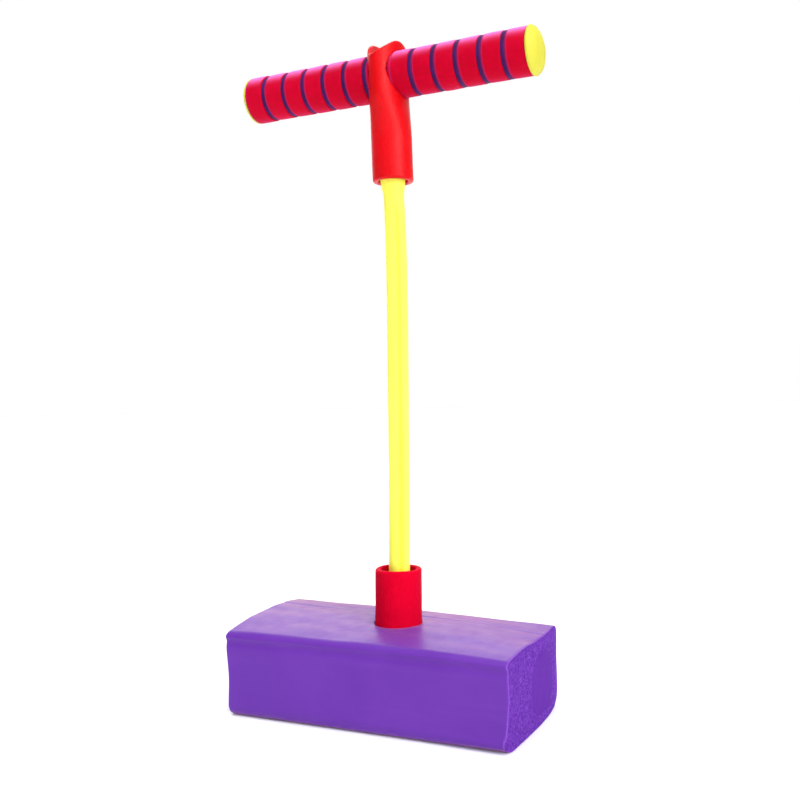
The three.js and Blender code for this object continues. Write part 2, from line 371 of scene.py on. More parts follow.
def red_foam(name, mid, dark, light, rough=0.62, sheen=0.25, spec=0.04, bar=False):
    """Closed-cell foam with a fine skin: small pits, soft blotches and a little fuzz."""
    k = Look(name)
    low = k.noise(22, 3, 0.55)
    mids = k.noise(160, 4, 0.6)
    pits = k.cells(820)
    fine = k.noise(2600, 3, 0.6)
    c = k.mix(k.fit(low, 0.3, 0.7), linear(dark), linear(mid))
    c = k.mix(k.fit(mids, 0.42, 0.75, 0.0, 0.45), c, linear(light))
    c = k.mix(k.fit(pits, 0.05, 0.34, 0.30, 0.0), c, k.mix(0.75, c, (0.12, 0.0, 0.006, 1)))
    c = k.mix(k.fit(k.random(), 0.0, 1.0, 0.0, 0.10, False), c, linear(dark))
    if bar:
        # painted sheen: the upper side is painted pink where it is seen edge-on
        normal = k.t.nodes.new("ShaderNodeSeparateXYZ")
        k.put(normal.inputs[0], k.t.nodes.new("ShaderNodeNewGeometry").outputs["Normal"])
        edge_on = k.t.nodes.new("ShaderNodeLayerWeight")
        edge_on.inputs["Blend"].default_value = 0.5
        painted_top_sheen = k.math("MULTIPLY", k.fit(normal.outputs[2], 0.2, 0.9), k.fit(edge_on.outputs["Facing"], 0.2, 0.8, 0.1, 0.95))
        c = k.mix(painted_top_sheen, c, linear((255, 126, 208)))
        # painted highlight: the rounded shoulder beside each ring is painted paler and bluer, where it would catch the
        # light
        across = bar_place(k)
        edge = k.math("MULTIPLY", k.fit(across, 0.08, 0.10), k.fit(across, 0.11, 0.21, 0.6, 0.0))
        c = k.mix(edge, c, linear((170, 40, 104)))
    k.set(Base_Color=c, Roughness=k.fit(mids, 0.3, 0.7, rough - 0.07, rough + 0.08))
    k.b.inputs["IOR"].default_value = 1.45
    k.b.inputs["Specular IOR Level"].default_value = spec
    k.b.inputs["Sheen Weight"].default_value = sheen
    k.b.inputs["Sheen Roughness"].default_value = 0.4
    k.b.inputs["Sheen Tint"].default_value = (0.9, 0.2, 1.0, 1)
    n = k.bump(pits, 0.00022, 0.7)
    n = k.bump(fine, 0.00009, 0.6, n)
    n = k.bump(mids, 0.00035, 0.45, n)
    k.set(Normal=n)
    return k.m


def purple_foam(name, patch=False):
    """Moulded foam with a satin skin; the sawn ends, marked in the mesh as 'sawn', show its open cells."""
    k = Look(name)
    low = k.noise(9, 4, 0.6, 0.4)
    mids = k.noise(70, 4, 0.6)
    streak = k.noise(30, 4, 0.65, 0.3, k.stretch(0.25, 1.0, 2.2))
    fine = k.noise(1500, 3, 0.6)
    grain = k.cells(420)
    worms = k.noise(330, 2, 0.45, 1.6)
    holes = k.cells(300)
    c = k.mix(k.fit(low, 0.3, 0.72), linear((97, 46, 157)), linear((103, 51, 163)))
    c = k.mix(k.fit(streak, 0.5, 0.8, 0.0, 0.35), c, linear((113, 60, 173)))
    c = k.mix(k.fit(mids, 0.55, 0.8, 0.0, 0.25), c, linear((90, 38, 150)))
    if patch:
        sawn = 1.0
        c = k.mix(0.7, c, linear((93, 44, 149)))
        c = k.mix(k.fit(worms, 0.42, 0.6, 0.2, 0.0), c, linear((82, 34, 140)))
        c = k.mix(k.fit(holes, 0.05, 0.22, 0.3, 0.0), c, linear((74, 28, 128)))
    else:
        attribute = k.t.nodes.new("ShaderNodeAttribute")
        attribute.attribute_name = "sawn"
        sawn = attribute.outputs["Fac"]
        c = k.mix(k.math("MULTIPLY", sawn, 0.8), c, linear((107, 55, 168)))
        c = k.mix(k.math("MULTIPLY", sawn, k.fit(worms, 0.38, 0.52, 0.75, 0.0)), c, linear((78, 34, 138)))
        c = k.mix(k.math("MULTIPLY", sawn, k.fit(worms, 0.54, 0.70, 0.0, 0.7)), c, linear((130, 74, 192)))
        c = k.mix(k.math("MULTIPLY", sawn, k.fit(holes, 0.05, 0.22, 0.6, 0.0)), c, linear((66, 26, 122)))
        pale = k.math("MULTIPLY", sawn, k.fit(k.axis(1), 0.060, 0.073, 0.0, 0.5))
        c = k.mix(pale, c, linear((124, 66, 184)))
        # painted highlight: a thin paler line is painted along the rounded edge where the sawn end meets the skin
        rim = k.math("MULTIPLY", k.math("MULTIPLY", sawn, k.math("SUBTRACT", 1.0, sawn)), 2.2)
        c = k.mix(rim, c, linear((152, 98, 206)))
    skin = k.math("SUBTRACT", 1.0, sawn)
    k.set(Base_Color=c, Roughness=k.math("ADD", k.fit(mids, 0.3, 0.7, 0.33, 0.43), k.math("MULTIPLY", sawn, 0.4)))
    k.b.inputs["IOR"].default_value = 1.5
    k.set(Specular_IOR_Level=k.math("ADD", k.math("MULTIPLY", skin, 0.10), 0.02))
    k.set(Sheen_Weight=k.math("MULTIPLY", skin, 0.8))
    k.b.inputs["Sheen Roughness"].default_value = 0.28
    k.b.inputs["Sheen Tint"].default_value = (1.0, 0.4, 0.42, 1)
    n = k.bump(fine, 0.00008, 0.4)
    n = k.bump(grain, 0.00012, 0.3, n)
    n = k.bump(mids, 0.0005, 0.4, n)
    rough = k.math("MULTIPLY", sawn, k.math("MAXIMUM", k.fit(worms, 0.36, 0.56, 1.0, 0.0), k.fit(holes, 0.05, 0.22, 1.0, 0.0)))
    n = k.bump(k.math("SUBTRACT", 1.0, rough), 0.0006, 0.35 if patch else 0.75, n)
    k.set(Normal=n)
    return k.m


def ring_foam(name):
    """Dark purple foam, with a painted highlight: its right-hand shoulder is painted pinker."""
    k = Look(name)
    low = k.noise(60, 3, 0.55)
    pits = k.cells(820)
    fine = k.noise(2600, 3, 0.6)
    c = k.mix(k.fit(low, 0.3, 0.7), linear((54, 14, 70)), linear((66, 24, 92)))
    # painted highlight on the ring's right-hand shoulder
    c = k.mix(k.fit(bar_place(k), 0.04, 0.09, 0.0, 0.6), c, linear((140, 34, 100)))
    c = k.mix(k.fit(pits, 0.05, 0.34, 0.3, 0.0), c, linear((44, 14, 66)))
    k.set(Base_Color=c, Roughness=k.fit(low, 0.3, 0.7, 0.6, 0.74))
    k.b.inputs["Specular IOR Level"].default_value = 0.08
    k.b.inputs["Sheen Weight"].default_value = 0.08
    k.b.inputs["Sheen Tint"].default_value = (0.9, 0.4, 0.9, 1)
    n = k.bump(pits, 0.00022, 0.7)
    n = k.bump(fine, 0.00009, 0.6, n)
    k.set(Normal=n)
    return k.m


def rubber(name, main, deep, pale, rough=0.46, sss=0.2, spec=0.28, groove_shade_colour=None):
    """Soft translucent thermoplastic rubber: flow marks along its length and fine dust."""
    k = Look(name)
    low = k.noise(12, 3, 0.5, 0.0, k.stretch(3.0, 3.0, 0.7))
    flow = k.noise(90, 4, 0.6, 0.2, k.stretch(2.2, 2.2, 0.12))
    fine = k.noise(1900, 3, 0.55)
    c = k.mix(k.fit(low, 0.3, 0.7), linear(main), linear(pale))
    c = k.mix(k.fit(flow, 0.52, 0.8, 0.0, 0.35), c, linear(deep))
    # painted shade: a darker yellow is painted along the stem's shallow flat
    if groove_shade_colour:
        attribute = k.t.nodes.new("ShaderNodeAttribute")
        attribute.attribute_name = "groove_shade"
        c = k.mix(k.math("MULTIPLY", attribute.outputs["Fac"], 0.9), c, linear(groove_shade_colour))
    k.set(Base_Color=c, Roughness=k.fit(flow, 0.3, 0.7, rough - 0.05, rough + 0.08))
    k.b.inputs["IOR"].default_value = 1.45
    k.b.inputs["Specular IOR Level"].default_value = spec
    k.b.inputs["Subsurface Weight"].default_value = sss
    k.b.inputs["Subsurface Radius"].default_value = (1.0, 0.9, 0.25)
    k.b.inputs["Subsurface Scale"].default_value = 0.004
    n = k.bump(fine, 0.00005, 0.35)
    n = k.bump(flow, 0.00022, 0.35, n)
    k.set(Normal=n)
    return k.m


def plastic(name, main, dark, rough=0.42, scale=700):
    """Moulded plastic with a light spark-eroded grain."""
    k = Look(name)
    low = k.noise(18, 3, 0.5)
    grain = k.noise(scale, 4, 0.6)
    scuff = k.noise(120, 5, 0.7, 0.6)
    c = k.mix(k.fit(low, 0.3, 0.7), linear(dark), linear(main))
    c = k.mix(k.fit(scuff, 0.6, 0.8, 0.0, 0.2), c, linear(dark))
    k.set(Base_Color=c, Roughness=k.fit(scuff, 0.3, 0.75, rough - 0.06, rough + 0.1))
    k.b.inputs["IOR"].default_value = 1.47
    n = k.bump(grain, 0.00006, 0.4)
    n = k.bump(scuff, 0.0002, 0.2, n)
    k.set(Normal=n)
    return k.m


BASE = purple_foam("base_foam_look")
PATCH = purple_foam("plug_foam_look", patch=True)
GRIP = red_foam("grip_foam_look", (194, 2, 38), (182, 1, 33), (204, 4, 44), sheen=0.2, spec=0.03, bar=True)
COLLAR = red_foam("collar_foam_look", (214, 2, 41), (203, 1, 35), (222, 4, 47), sheen=0.02, spec=0.02)
SLEEVE = red_foam("sleeve_foam_look", (212, 4, 17), (201, 2, 12), (221, 8, 23), rough=0.36, sheen=0.0, spec=0.19)
RING = ring_foam("ring_foam_look")
# the stem's darker yellow along its flat is painted shade
STEM = rubber("stem_rubber_look", (250, 250, 89), (246, 246, 71), (252, 252, 100), groove_shade_colour=(241, 233, 46))
CAP = rubber("end_cap_look", (197, 190, 52), (189, 180, 42), (205, 200, 66), rough=0.48, sss=0.12)
BELLOWS = rubber("bellows_look", (246, 236, 90), (232, 214, 60), (250, 244, 120), rough=0.45, sss=0.1)
WHITE = plastic("white_plastic_look", (236, 234, 228), (214, 211, 203))
# dark grey; on the stop discs it stands in for the shade in the gap beside the sleeve, a painted shade
GREY_AND_SHADE = plastic("grey_plastic_look", (92, 94, 100), (70, 72, 78))


def dress(ob, look):
    ob.data.materials.clear()
    ob.data.materials.append(look)
    return ob


# ------------------------------------------------------------------ foam base
X0, X1, W2, H = -147.0, 137.0, 75.0, 79.0
NY, NZ = 112, 60


def base_block():
    chain = fillet([(-W2, 0, 11), (W2, 0, 18), (W2, H, 9), (-W2, H, 6)], seg=40)
    fine = np.array(dense(chain, 0.4))
    n = len(fine)
    seglen = np.linalg.norm(np.roll(fine, -1, 0) - fine, axis=1)
    s = np.concatenate([[0], np.cumsum(seglen)])
    total = s[-1]
    # the middle of each rounded corner starts a run of the grid
    corners = [(-W2, 0), (W2, 0), (W2, H), (-W2, H)]
    starts = []
    for c in corners:
        starts.append(s[np.argmin(np.linalg.norm(fine - np.array(c), axis=1))])
    cyc = np.vstack([fine, fine[:1]])

    def at(q):
        q = np.mod(q, total)
        return np.stack([np.interp(q, s, cyc[:, 0]), np.interp(q, s, cyc[:, 1])], 1)

    runs = [NY, NZ, NY, NZ]
    qs = []
    for i in range(4):
        a, b = starts[i], starts[(i + 1) % 4]
        if b <= a:
            b += total
        qs.extend(a + (b - a) * np.arange(runs[i]) / runs[i])
    qs = np.array(qs)
    ring = at(qs)
    tangent = at(qs + 0.5) - at(qs - 0.5)
    tangent /= np.linalg.norm(tangent, axis=1)[:, None]
    inward = np.stack([-tangent[:, 1], tangent[:, 0]], 1)
    N = len(ring)
    re = 1.5
    stations = []
    steps = 4
    for i in range(steps + 1):
        w = math.pi / 2 * (1 - i / steps)
        stations.append((X0 + re - re * math.sin(w), re - re * math.cos(w)))
    inner = np.linspace(X0 + re, X1 - re, 134)[1:-1]
    stations += [(x, 0.0) for x in inner]
    for i in range(steps + 1):
        w = math.pi / 2 * i / steps
        stations.append((X1 - re + re * math.sin(w), re - re * math.cos(w)))
    verts, faces = [], []
    for x, inset in stations:
        pts = ring + inward * inset
        verts.extend((x, p[0], p[1]) for p in pts)
    for i in range(len(stations) - 1):
        for k in range(N):
            a, b = i * N + k, i * N + (k + 1) % N
            faces.append((a, b, b + N, a + N))
    edge = ring + inward * re
    centre = np.array([0.0, H / 2])
    run0 = np.cumsum([0] + runs)

    def border(j, k):
        if k == 0:
            return j
        if j == NY:
            return run0[1] + k
        if k == NZ:
            return run0[2] + (NY - j)
        if j == 0:
            return (run0[3] + (NZ - k)) % N
        return None

    closed = np.vstack([edge, edge[:1]])

    def toward(u, v):
        if abs(v) >= abs(u):
            q = (u + 1) / 2 * NY if v < 0 else run0[2] + (1 - (u + 1) / 2) * NY
        else:
            q = run0[1] + (v + 1) / 2 * NZ if u > 0 else run0[3] + (1 - (v + 1) / 2) * NZ
        return np.array([np.interp(q, np.arange(N + 1), closed[:, 0]), np.interp(q, np.arange(N + 1), closed[:, 1])])

    for side, x in ((0, X0), (len(stations) - 1, X1)):
        index = {}
        for j in range(NY + 1):
            for k in range(NZ + 1):
                b = border(j, k)
                if b is not None:
                    index[j, k] = side * N + b
                    continue
                u, v = 2 * j / NY - 1, 2 * k / NZ - 1
                m = max(abs(u), abs(v))
                p = centre if m < 1e-9 else centre + (toward(u / m, v / m) - centre) * m
                index[j, k] = len(verts)
                verts.append((x, p[0], p[1]))
        for j in range(NY):
            for k in range(NZ):
                faces.append((index[j, k], index[j + 1, k], index[j + 1, k + 1], index[j, k + 1]))

    return make("base_block", verts, faces, settle)


# how far the top lies above the plain block: one row for each place along the block
TOP_Y = (-75, -60, -45, -22, 0, 25, 50, 75)
TOP_X = (-147, -90, -33, 25, 80, 137)
TOP_RISE = (
    (1.5, 3.5, 5.2, 7.0, 7.8, 8.0, 6.6, 3.4),
    (2.0, 3.5, 4.9, 6.5, 7.1, 6.8, 5.2, 3.3),
    (2.2, 3.5, 4.7, 6.1, 6.8, 6.1, 4.5, 2.4),
    (2.2, 3.5, 4.7, 5.8, 6.0, 5.0, 3.2, 1.0),
    (1.3, 2.4, 3.2, 3.9, 3.5, 2.3, 0.8, -0.6),
    (-0.9, -0.4, 0.2, 0.4, -1.4, -2.3, -2.3, -2.0),
)
# and how far the sawn right end lies beyond its plain cut: one row for each height
END_Y = (-75, -68, -55, -17, 8, 37, 66, 75)
END_Z = (0, 14, 35, 50, 62, 79)
END_REACH = (
    (-4.6, -0.5, 1.5, 2.7, 2.9, 1.5, -1.8, -3.0),
    (-1.5, 0.3, 1.5, 2.6, 2.6, 1.3, -1.8, -2.8),
    (1.6, 1.8, 2.0, 2.3, 2.1, 1.0, -1.8, -2.8),
    (2.6, 2.6, 2.4, 2.0, 1.7, 0.6, -1.8, -2.8),
    (2.2, 2.1, 2.0, 1.4, 1.1, 0.2, -1.8, -2.7),
    (1.3, 1.2, 1.0, 0.6, 0.3, -0.3, -1.8, -2.5),
)


def top_rise(x, y):
    W = weights(TOP_X, x)
    return sum(W[:, i] * spline(TOP_Y, row, y) for i, row in enumerate(TOP_RISE))


def end_shift(y, z):
    W = weights(END_Z, z)
    reach = sum(W[:, i] * spline(END_Y, row, y) for i, row in enumerate(END_REACH))
    return reach + 0.3 * waves(np.stack([0 * y, y, z], 1), 34, 8)


def settle(P):
    """What use and moulding do to the plain block: a crowned top, slack sides, ends cut by eye."""
    x, y, z = P[:, 0].copy(), P[:, 1].copy(), P[:, 2].copy()
    up = smooth(z / H)
    dz = top_rise(x, y) * up ** 1.5
    top = smooth((z - (H - 3)) / 3)
    r = np.hypot(x + 2.4, y)
    dz += top * (-0.7 * bell(np.maximum(r - 22, 0), 6))
    # a long shallow crease behind the collar
    yc = 31 + 1.6 * np.sin(x / 31.0) + 1.0 * np.sin(x / 13.0 + 1)
    dz += top * (-0.34 * bell(y - yc, 1.8) + 0.22 * bell(y - yc - 3.4, 2.6)) * (0.65 + 0.35 * np.sin(x / 23.0 + 0.7))
    dz += top * 0.3 * waves(P * [1, 1.4, 0], 46, 3)
    dy = np.zeros(len(P))
    front = smooth((-y - (W2 - 4)) / 4)
    back = smooth((y - (W2 - 4)) / 4)
    mids = np.sin(np.clip(z / H, 0, 1) * math.pi)
    # a rolled lip along the front top edge, with a slack band under it
    dy += front * (-1.2 * bell(z - (H - 4.0), 2.2) + 1.2 * bell(z - (H - 9.5), 3.6))
    dy += front * (0.7 * mids * (0.6 + 0.4 * np.sin(x / 47.0)) + 0.4 * waves(P * [1, 0, 1], 52, 5) * mids)
    dy -= back * (0.8 * mids + 0.45 * waves(P * [1, 0, 1], 50, 6) * mids)
    dy += front * bell(z - 2, 8) * (1.1 * bell(x + 30, 70) - 2.4 * smooth((x - 50) / 80))
    right = smooth((x - (X1 - 2.5)) / 2.5)
    t = np.clip((y + W2) / (2 * W2), 0, 1)
    slant = spline((0, 20, 40, 66, 79), (-1.4, -2.0, -1.6, -4.0, -3.2), z) * (1 - t) - 13.0 * t
    skewed = smooth((-x - 60) / 87)
    dx = right * end_shift(y, z) + skewed * slant + smooth((X0 + 2.5 - x) / 2.5) * 0.5 * waves(P * [0, 1, 1], 34, 9)
    out = np.stack([x + dx, y + dy, z + dz], 1)
    out[:, 2] = np.maximum(out[:, 2], 0)
    return out


def cutter(name, profile, at=(0, 0, 0), segments=96):
    return turn(name, profile, segments, at=at, closed=False)


def rim_flare(r, z, lip, out):
    """The mouth of a round cut, eased by lip mm; out is +1 where the cut opens upward and -1 downward."""
    pts = []
    for i in range(6):
        w = math.pi / 2 * i / 5
        pts.append((r + lip * (1 - math.cos(w)), z - out * lip * (1 - math.sin(w))))
    return pts


block = base_block()
TOP = 84.1      # where the top lies at the collar
LEAN = -1.3     # the collar and its seat stand a little to the left of the stem's axis
seat = [(0, 64.0), (23.2, 64.0)] + rim_flare(23.2, TOP + 0.4, 1.1, 1) + [(24.3, TOP + 12), (0, TOP + 12)]
recess = [(0, 16.0), (38.0, 16.0)] + rim_flare(38.0, 0.0, 1.2, -1) + [(39.2, -8), (0, -8)]
bore = [(0, 13.5), (13.3, 13.5), (13.3, 66.0), (0, 66.0)]
boolean(block, cutter("cut_seat", seat, at=(LEAN, 0, 0)), cutter("cut_recess", recess), cutter("cut_bore", bore, segments=64))


def rounded_rect(cy, cz, hw, hh, r, seg=14):
    return fillet([(cy - hw, cz - hh, r), (cy + hw, cz - hh, r), (cy + hw, cz + hh, r), (cy - hw, cz + hh, r)], seg=seg)


def slab(name, sections, warp=None, rings=7):
    """A closed body through outlines [(x, [(y, z), ...]), ...], with the same number of points in each, capped by rings toward the middle."""
    n = len(sections[0][1])
    verts, faces, order = [], [], []

    def cap(x, pts):
        c = np.mean(np.array(pts), axis=0)
        out = []
        for i in range(1, rings):
            s = i / rings
            out.append((x, [tuple(c + (np.array(p) - c) * s) for p in pts]))
        return c, out

    c0, first = cap(*sections[0])
    c1, last = cap(*sections[-1])
    order = first + list(sections) + last[::-1]
    verts.append((sections[0][0], c0[0], c0[1]))
    for x, pts in order:
        verts.extend((x, p[0], p[1]) for p in pts)
    verts.append((sections[-1][0], c1[0], c1[1]))
    end = len(verts) - 1
    for k in range(n):
        faces.append((0, 1 + k, 1 + (k + 1) % n))
        faces.append((end, end - n + (k + 1) % n, end - n + k))
    for i in range(len(order) - 1):
        for k in range(n):
            a, b = 1 + i * n + k, 1 + i * n + (k + 1) % n
            faces.append((a, b, b + n, a + n))
    return make(name, verts, faces, warp)


PY, PZ = 18.0, 36.0


def pocket_outline(grow):
    return dense(rounded_rect(PY, PZ, 34 + grow, 26 + grow, 22 + grow), 3.0)


boolean(block, slab("cut_pocket", [(77, pocket_outline(0)), (133, pocket_outline(0)), (144, pocket_outline(0))]))
mark_sharp(block, 50)


def mark_sawn(ob):
    """Marks the points of the two sawn ends, for the foam's open cells to show there."""
    me = ob.data
    n = len(me.vertices)
    co, no = np.zeros(n * 3, np.float32), np.zeros(n * 3, np.float32)
    me.vertices.foreach_get("co", co)
    me.vertices.foreach_get("normal", no)
    x, nx = co[0::3] / MM, np.abs(no[0::3])
    y, z = co[1::3] / MM, co[2::3] / MM
    at_end = (x > X1 - 6) | (x < X0 + 4)
    by_plug = (x > X1 - 6) & (np.abs(y - 18) < 36.5) & (np.abs(z - 36) < 28.5)
    mark = me.attributes.new("sawn", "FLOAT", "POINT")
    mark.data.foreach_set("value", (np.where(by_plug, 1.0, smooth((nx - 0.45) / 0.4)) * at_end).astype(np.float32))


mark_sawn(block)
dress(block, BASE)
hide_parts("foam_base")


def plug_outline(grow):
    """The pocket's outline, moved in or out point by point, so that every outline has as many points."""
    base = np.array(dense(rounded_rect(PY, PZ, 34, 26, 22), 1.6))
    t = np.roll(base, -1, 0) - np.roll(base, 1, 0)
    t /= np.linalg.norm(t, axis=1)[:, None]
    return [tuple(p) for p in base + np.stack([t[:, 1], -t[:, 0]], 1) * grow]


def plug_warp(P):
    P[:, 0] += smooth((P[:, 0] - (X1 - 2.5)) / 2.5) * end_shift(P[:, 1], P[:, 2])
    return P


plug = slab("end_plug", [
    (129.0, plug_outline(-1.2)), (129.3, plug_outline(-0.7)), (130.0, plug_outline(-0.05)), (133.0, plug_outline(-0.05)),
    (136.0, plug_outline(-0.05)), (136.8, plug_outline(-0.07)), (136.95, plug_outline(-0.2)), (137.0, plug_outline(-0.5)), (137.0, plug_outline(-1.6)),
], plug_warp, rings=16)
dress(plug, PATCH)
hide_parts("base_end_plug")

cover = turn("underside_disc", fillet([(0, 0, 0), (37.6, 0, 1.2), (37.6, 5, 1.2), (0, 5, 0)], closed=False, seg=5),
             96, step=2.0, closed=False)
dress(cover, BASE)
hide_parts("underside_cover")


def collar_warp(P):
    x, y, z = P[:, 0], P[:, 1], P[:, 2]
    r = np.hypot(x, y)
    w = np.arctan2(y, x)
    t = (z - 64.3) / 72.5
    outer = smooth((r - 18.5) / 2)
    grow = 0.25 * waves(np.stack([22 * np.cos(w), 22 * np.sin(w), z], 1), 38, 31) * smooth((t - 0.2) / 0.2)
    grow += outer * (0.35 * bell(z - 82, 5) - 0.3 * bell(z - 105, 22))
    k = 1 + grow / np.maximum(r, 1)
    rim = smooth((t - 0.9) / 0.1)
    lean = LEAN + 1.5 * t
    return np.stack([x * k + lean, y * k, z + rim * 0.45 * waves(np.stack([20 * np.cos(w), 20 * np.sin(w), 0 * z], 1), 34, 33)], 1)


collar = turn("collar_foam_tube", fillet([(17.2, 64.3, 0.8), (22.9, 64.3, 0.8), (22.9, 137.3, 2.3), (17.2, 137.3, 1.9)], seg=7), 96,
              step=1.6, warp=collar_warp)
dress(collar, COLLAR)
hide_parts("lower_collar")

liner = turn("liner_tube", fillet([(11.2, 13.6, 0.4), (24, 13.6, 0.6), (24, 15.7, 0.4), (13.0, 15.7, 0.8), (13.0, 64.0, 0.6), (11.2, 64.0, 0.6)], seg=4), 72,
             step=4.0)
dress(liner, WHITE)
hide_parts("bore_liner")

# squeaker, in the pocket behind the plug
SX, SY, SF = 103.0, 18.0, 11.6
holder = turn("squeaker_reed_base", fillet([
    (2.5, SF, 0.3), (18, SF, 0.6), (18, SF + 3.6, 0.4), (17.2, SF + 4.2, 0.3), (15.6, SF + 6, 0.4), (2.5, SF + 6, 0.3)], seg=4), 64, at=(SX, SY, 0), step=2.0)
dress(holder, WHITE)
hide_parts("squeaker_reed_holder")

b0, b1 = SF + 6.3, 51.7
fold = []
for i in range(7):
    fold.append((17.0 if i % 2 else 13.2, b0 + (b1 - b0) * i / 6))
outside = [(r, z, 1.3) for r, z in fold]
inside = [(r - 1.6, min(max(z, b0 + 1.4), b1 - 1.4), 1.0) for r, z in reversed(fold)]
bellows_profile = fillet([(6, b0, 0.3)] + outside + [(1.2, b1, 0.4), (1.2, b1 - 1.4, 0.3)] + inside + [(6, b0 + 1.4, 0.3)], seg=5)
bellows = turn("squeaker_bulb", bellows_profile, 64, at=(SX, SY, 0), step=1.5)
dress(bellows, BELLOWS)
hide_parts("squeaker_bellows")

button = turn("squeaker_button", fillet([
    (0, 52.0, 0), (17.0, 52.0, 0.6), (17.0, 54.4, 0.9), (14.0, 56.5, 1.6), (6.0, 56.5, 0.6), (5.2, 55.9, 0.6), (0, 55.9, 0)], closed=False, seg=4), 64,
    at=(SX, SY, 0), step=1.6, closed=False)
dress(button, WHITE)
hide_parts("squeaker_cap")

# ------------------------------------------------------------------ elastic stem
R0, RB = 10.25, 4.5
BAR = 617.4
Z_BEND, Z_MID, Z_SHAFT, Z_HEAD = 20.0, 143.0, 163.0, 488.0
GROOVE = math.radians(-52)       # a shallow flat runs up the stem, towards the front right


def bow(z):
    """The stem's slight set to the right, which its own softness gives it."""
    return spline((60, 120, 200, 281, 369, 427, 476, 503, 540, 600), (0, 0.9, 2.7, 3.8, 4.9, 5.2, 4.6, 3.6, 1.6, 0.0), z)


def stem_round(P):
    """The flat along the stem, and its slight bow."""
    x, y, z = P[:, 0], P[:, 1], P[:, 2]
    r = np.hypot(x, y)
    w = np.arctan2(y, x)
    d = np.arctan2(np.sin(w - GROOVE), np.cos(w - GROOVE))
    fade = smooth((z - 14) / 20) * smooth((506 - z) / 22)
    skin = smooth((r - 7.5) / 1.5)
    k = 1 - skin * fade * 0.062 * bell(d, 0.30)
    return np.stack([x * k + bow(z), y * k, z], 1)


# marks where the stem's flat runs, for the painted shade along it
def mark_groove_shade(ob):
    me = ob.data
    n = len(me.vertices)
    co = np.zeros(n * 3, np.float32)
    me.vertices.foreach_get("co", co)
    P = co.reshape(-1, 3).astype(float) / MM
    w = np.arctan2(P[:, 1], P[:, 0] - bow(P[:, 2]))
    d = np.arctan2(np.sin(w - GROOVE), np.cos(w - GROOVE))
    mark = me.attributes.new("groove_shade", "FLOAT", "POINT")
    mark.data.foreach_set("value", (bell(d, 0.24) * smooth((506 - P[:, 2]) / 30)).astype(np.float32))
    return ob


def stem_piece(name, profile, step, segments=64):
    return mark_groove_shade(turn(name, profile, segments, warp=stem_round, step=step, sharp=55))


lower = stem_piece("stem_lower", fillet([
    (RB, 6, 0.4), (20, 6, 1.0), (20, 11, 1.0), (R0, 11, 1.2), (R0, Z_MID, 0), (RB, Z_MID, 0)], seg=5), 1.6)
dress(lower, STEM)
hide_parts("stem_foot")

bend = stem_piece("stem_bend_zone", [(RB, Z_MID), (R0, Z_MID), (R0, Z_SHAFT), (RB, Z_SHAFT)], 1.0)
dress(bend, STEM)
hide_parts("stem_neck")

shaft = stem_piece("stem_stretch", [(RB, Z_SHAFT), (R0, Z_SHAFT), (R0, Z_HEAD - 30), (R0 - 0.15, Z_HEAD), (RB, Z_HEAD)], 2.0)
dress(shaft, STEM)
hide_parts("stem_shaft")

flare = []
for i in range(25):
    h = Z_HEAD + 32 * i / 24
    flare.append((float(spline((488, 495, 501, 507, 514, 520), (10.1, 9.9, 10.2, 11.1, 12.1, 12.4), np.array([h]))[0]), h))
neck = turn("stem_eye_moulding", [(RB, Z_HEAD)] + flare + [(12.4, 604), (RB, 604)], 64, warp=stem_round, step=2.0)
eye = turn("eye_ring", fillet([(12.8, -7, 1.2), (20, -7, 1.6), (20, 7, 1.6), (12.8, 7, 1.2)], seg=5), 96, axis="X", at=(0, 0, BAR), step=1.5)
core_cut = turn("eye_cut", [(0, -40), (12.8, -40), (12.8, 40), (0, 40)], 96, axis="X", at=(0, 0, BAR), closed=False)
clear = [turn("clear_cut", [(0, x0), (22.8, x0), (22.8, x1), (0, x1)], 96, axis="X", at=(0, 0, BAR), closed=False)
         for x0, x1 in ((7, 40), (-40, -7))]
boolean(neck, eye, operation="UNION")
boolean(neck, core_cut, *clear)
mark_sharp(neck, 40)
mark_groove_shade(neck)
dress(neck, STEM)
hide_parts("stem_eye")

washer = turn("anchor_plate", fillet([(10.6, 11.3, 0.3), (32, 11.3, 0.5), (32, 13.3, 0.5), (10.6, 13.3, 0.3)], seg=4), 96, step=3.0)
dress(washer, GREY_AND_SHADE)
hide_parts("anchor_washer")

# ------------------------------------------------------------------ sleeve round the head of the stem
RIM = {-180: 650.0, -165: 648.0, -150: 643.0, -135: 636.5, -120: 633.5, -105: 632.6, -90: 634.0, -75: 636.0, -60: 638.6, -45: 642.0,
       -26: 646.3, -6: 648.0, 15: 646.2, 30: 644.2, 60: 641.8, 90: 641.0, 105: 641.5, 120: 643.0, 135: 645.6, 150: 648.6, 165: 650.4}


def rim_height(w):
    """The height of the sleeve's torn-looking, uneven top edge, by direction from the axis."""
    a = (np.degrees(np.atleast_1d(w)) + 180) % 360 - 180
    k = sorted(RIM)
    knots = [v - 360 for v in k[-3:]] + k + [v + 360 for v in k[:3]]
    return 0.9 + float(spline(knots, [RIM[(v + 180) % 360 - 180] for v in knots], a)[0])


